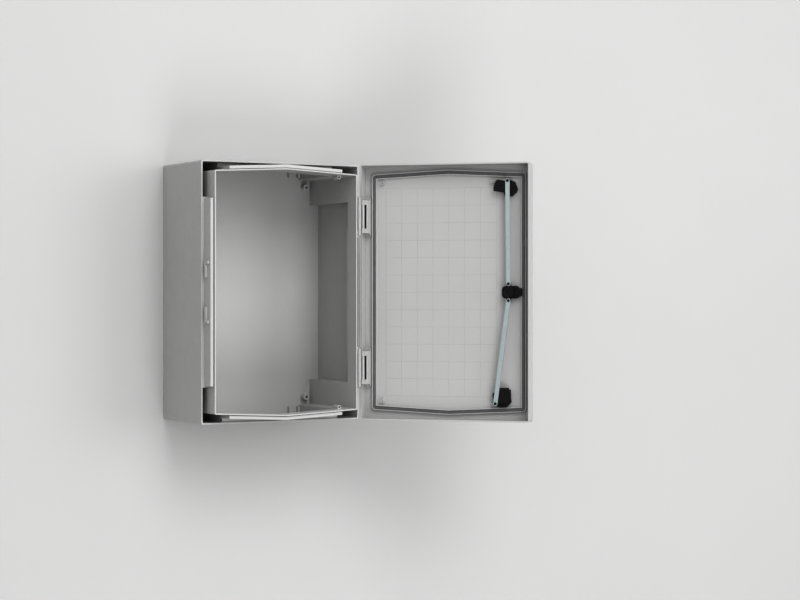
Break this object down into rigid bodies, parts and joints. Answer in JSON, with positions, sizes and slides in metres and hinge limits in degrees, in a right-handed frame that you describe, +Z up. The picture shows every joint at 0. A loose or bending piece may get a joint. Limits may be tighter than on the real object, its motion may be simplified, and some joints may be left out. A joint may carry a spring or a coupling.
{
  "type": "wall-mounted enclosure",
  "caption": "Wall-mounted moulded polyester enclosure with a gasketed hinged door, a gabled sealing rim, corner screw wells and a rod lock that throws an upper and a lower latch.",
  "frame": {"origin": "centre of the wall fixing pattern, on the wall plane", "axes": "+X to the hinge side seen from the front, +Y back into the wall, +Z up"},
  "size_m": [0.7909, 0.5428, 0.652],
  "materials": {
    "polyester": "light grey moulded polyester, fine satin grain",
    "gasket": "dark grey foamed seal, matte",
    "hinge_plastic": "light grey polyamide, satin",
    "steel": "zinc plated, satin",
    "black_plastic": "black glass-filled polyamide, satin"
  },
  "bodies": {
    "body": {"body_shell": "polyester", "threaded_inserts": "steel", "upper_hinge_pin": "steel", "lower_hinge_pin": "steel"},
    "door": {"door_panel": "polyester", "door_gasket": "gasket", "upper_hinge_insert": "hinge_plastic", "lower_hinge_insert": "hinge_plastic", "lock_housing": "black_plastic", "lock_bezel": "black_plastic", "upper_latch_base": "black_plastic", "lower_latch_base": "black_plastic", "upper_latch_pivot": "steel", "lower_latch_pivot": "steel"},
    "lock": {"lock_rotor": "black_plastic", "key_insert": "steel"},
    "upper_rod": {"upper_rod": "steel"},
    "lower_rod": {"lower_rod": "steel"},
    "upper_latch": {"upper_latch": "black_plastic"},
    "lower_latch": {"lower_latch": "black_plastic"}
  },
  "joints": [
    {"name": "door_swing", "type": "hinge", "parent": "body", "child": "door", "pos_m": [0.219, -0.241, 0], "axis": [0, 0, 1], "range_deg": [-136.5, 41.5]},
    {"name": "lock_turn", "type": "hinge", "parent": "door", "child": "lock", "pos_m": [0.51655, -0.48166, 0], "axis": [0.6884, 0.7254, 0], "range_deg": [0, 90]},
    {"name": "upper_rod_pivot", "type": "hinge", "parent": "lock", "child": "upper_rod", "pos_m": [0.51655, -0.48166, 0.021], "axis": [0.6884, 0.7254, 0], "range_deg": [-90, 0]},
    {"name": "lower_rod_pivot", "type": "hinge", "parent": "lock", "child": "lower_rod", "pos_m": [0.51655, -0.48166, -0.021], "axis": [0.6884, 0.7254, 0], "range_deg": [-90, 0]},
    {"name": "upper_latch_turn", "type": "hinge", "parent": "door", "child": "upper_latch", "pos_m": [0.51474, -0.47994, 0.25988], "axis": [0.6884, 0.7254, 0], "range_deg": [0, 90]},
    {"name": "lower_latch_turn", "type": "hinge", "parent": "door", "child": "lower_latch", "pos_m": [0.49225, -0.4586, -0.25996], "axis": [0.6884, 0.7254, 0], "range_deg": [0, 90]}
  ],
  "couplings": [
    {"joint": "upper_rod_pivot", "follows": "lock_turn", "ratio": -1},
    {"joint": "lower_rod_pivot", "follows": "lock_turn", "ratio": -1},
    {"joint": "upper_latch_turn", "follows": "lock_turn", "ratio": 1},
    {"joint": "lower_latch_turn", "follows": "lock_turn", "ratio": 1}
  ]
}
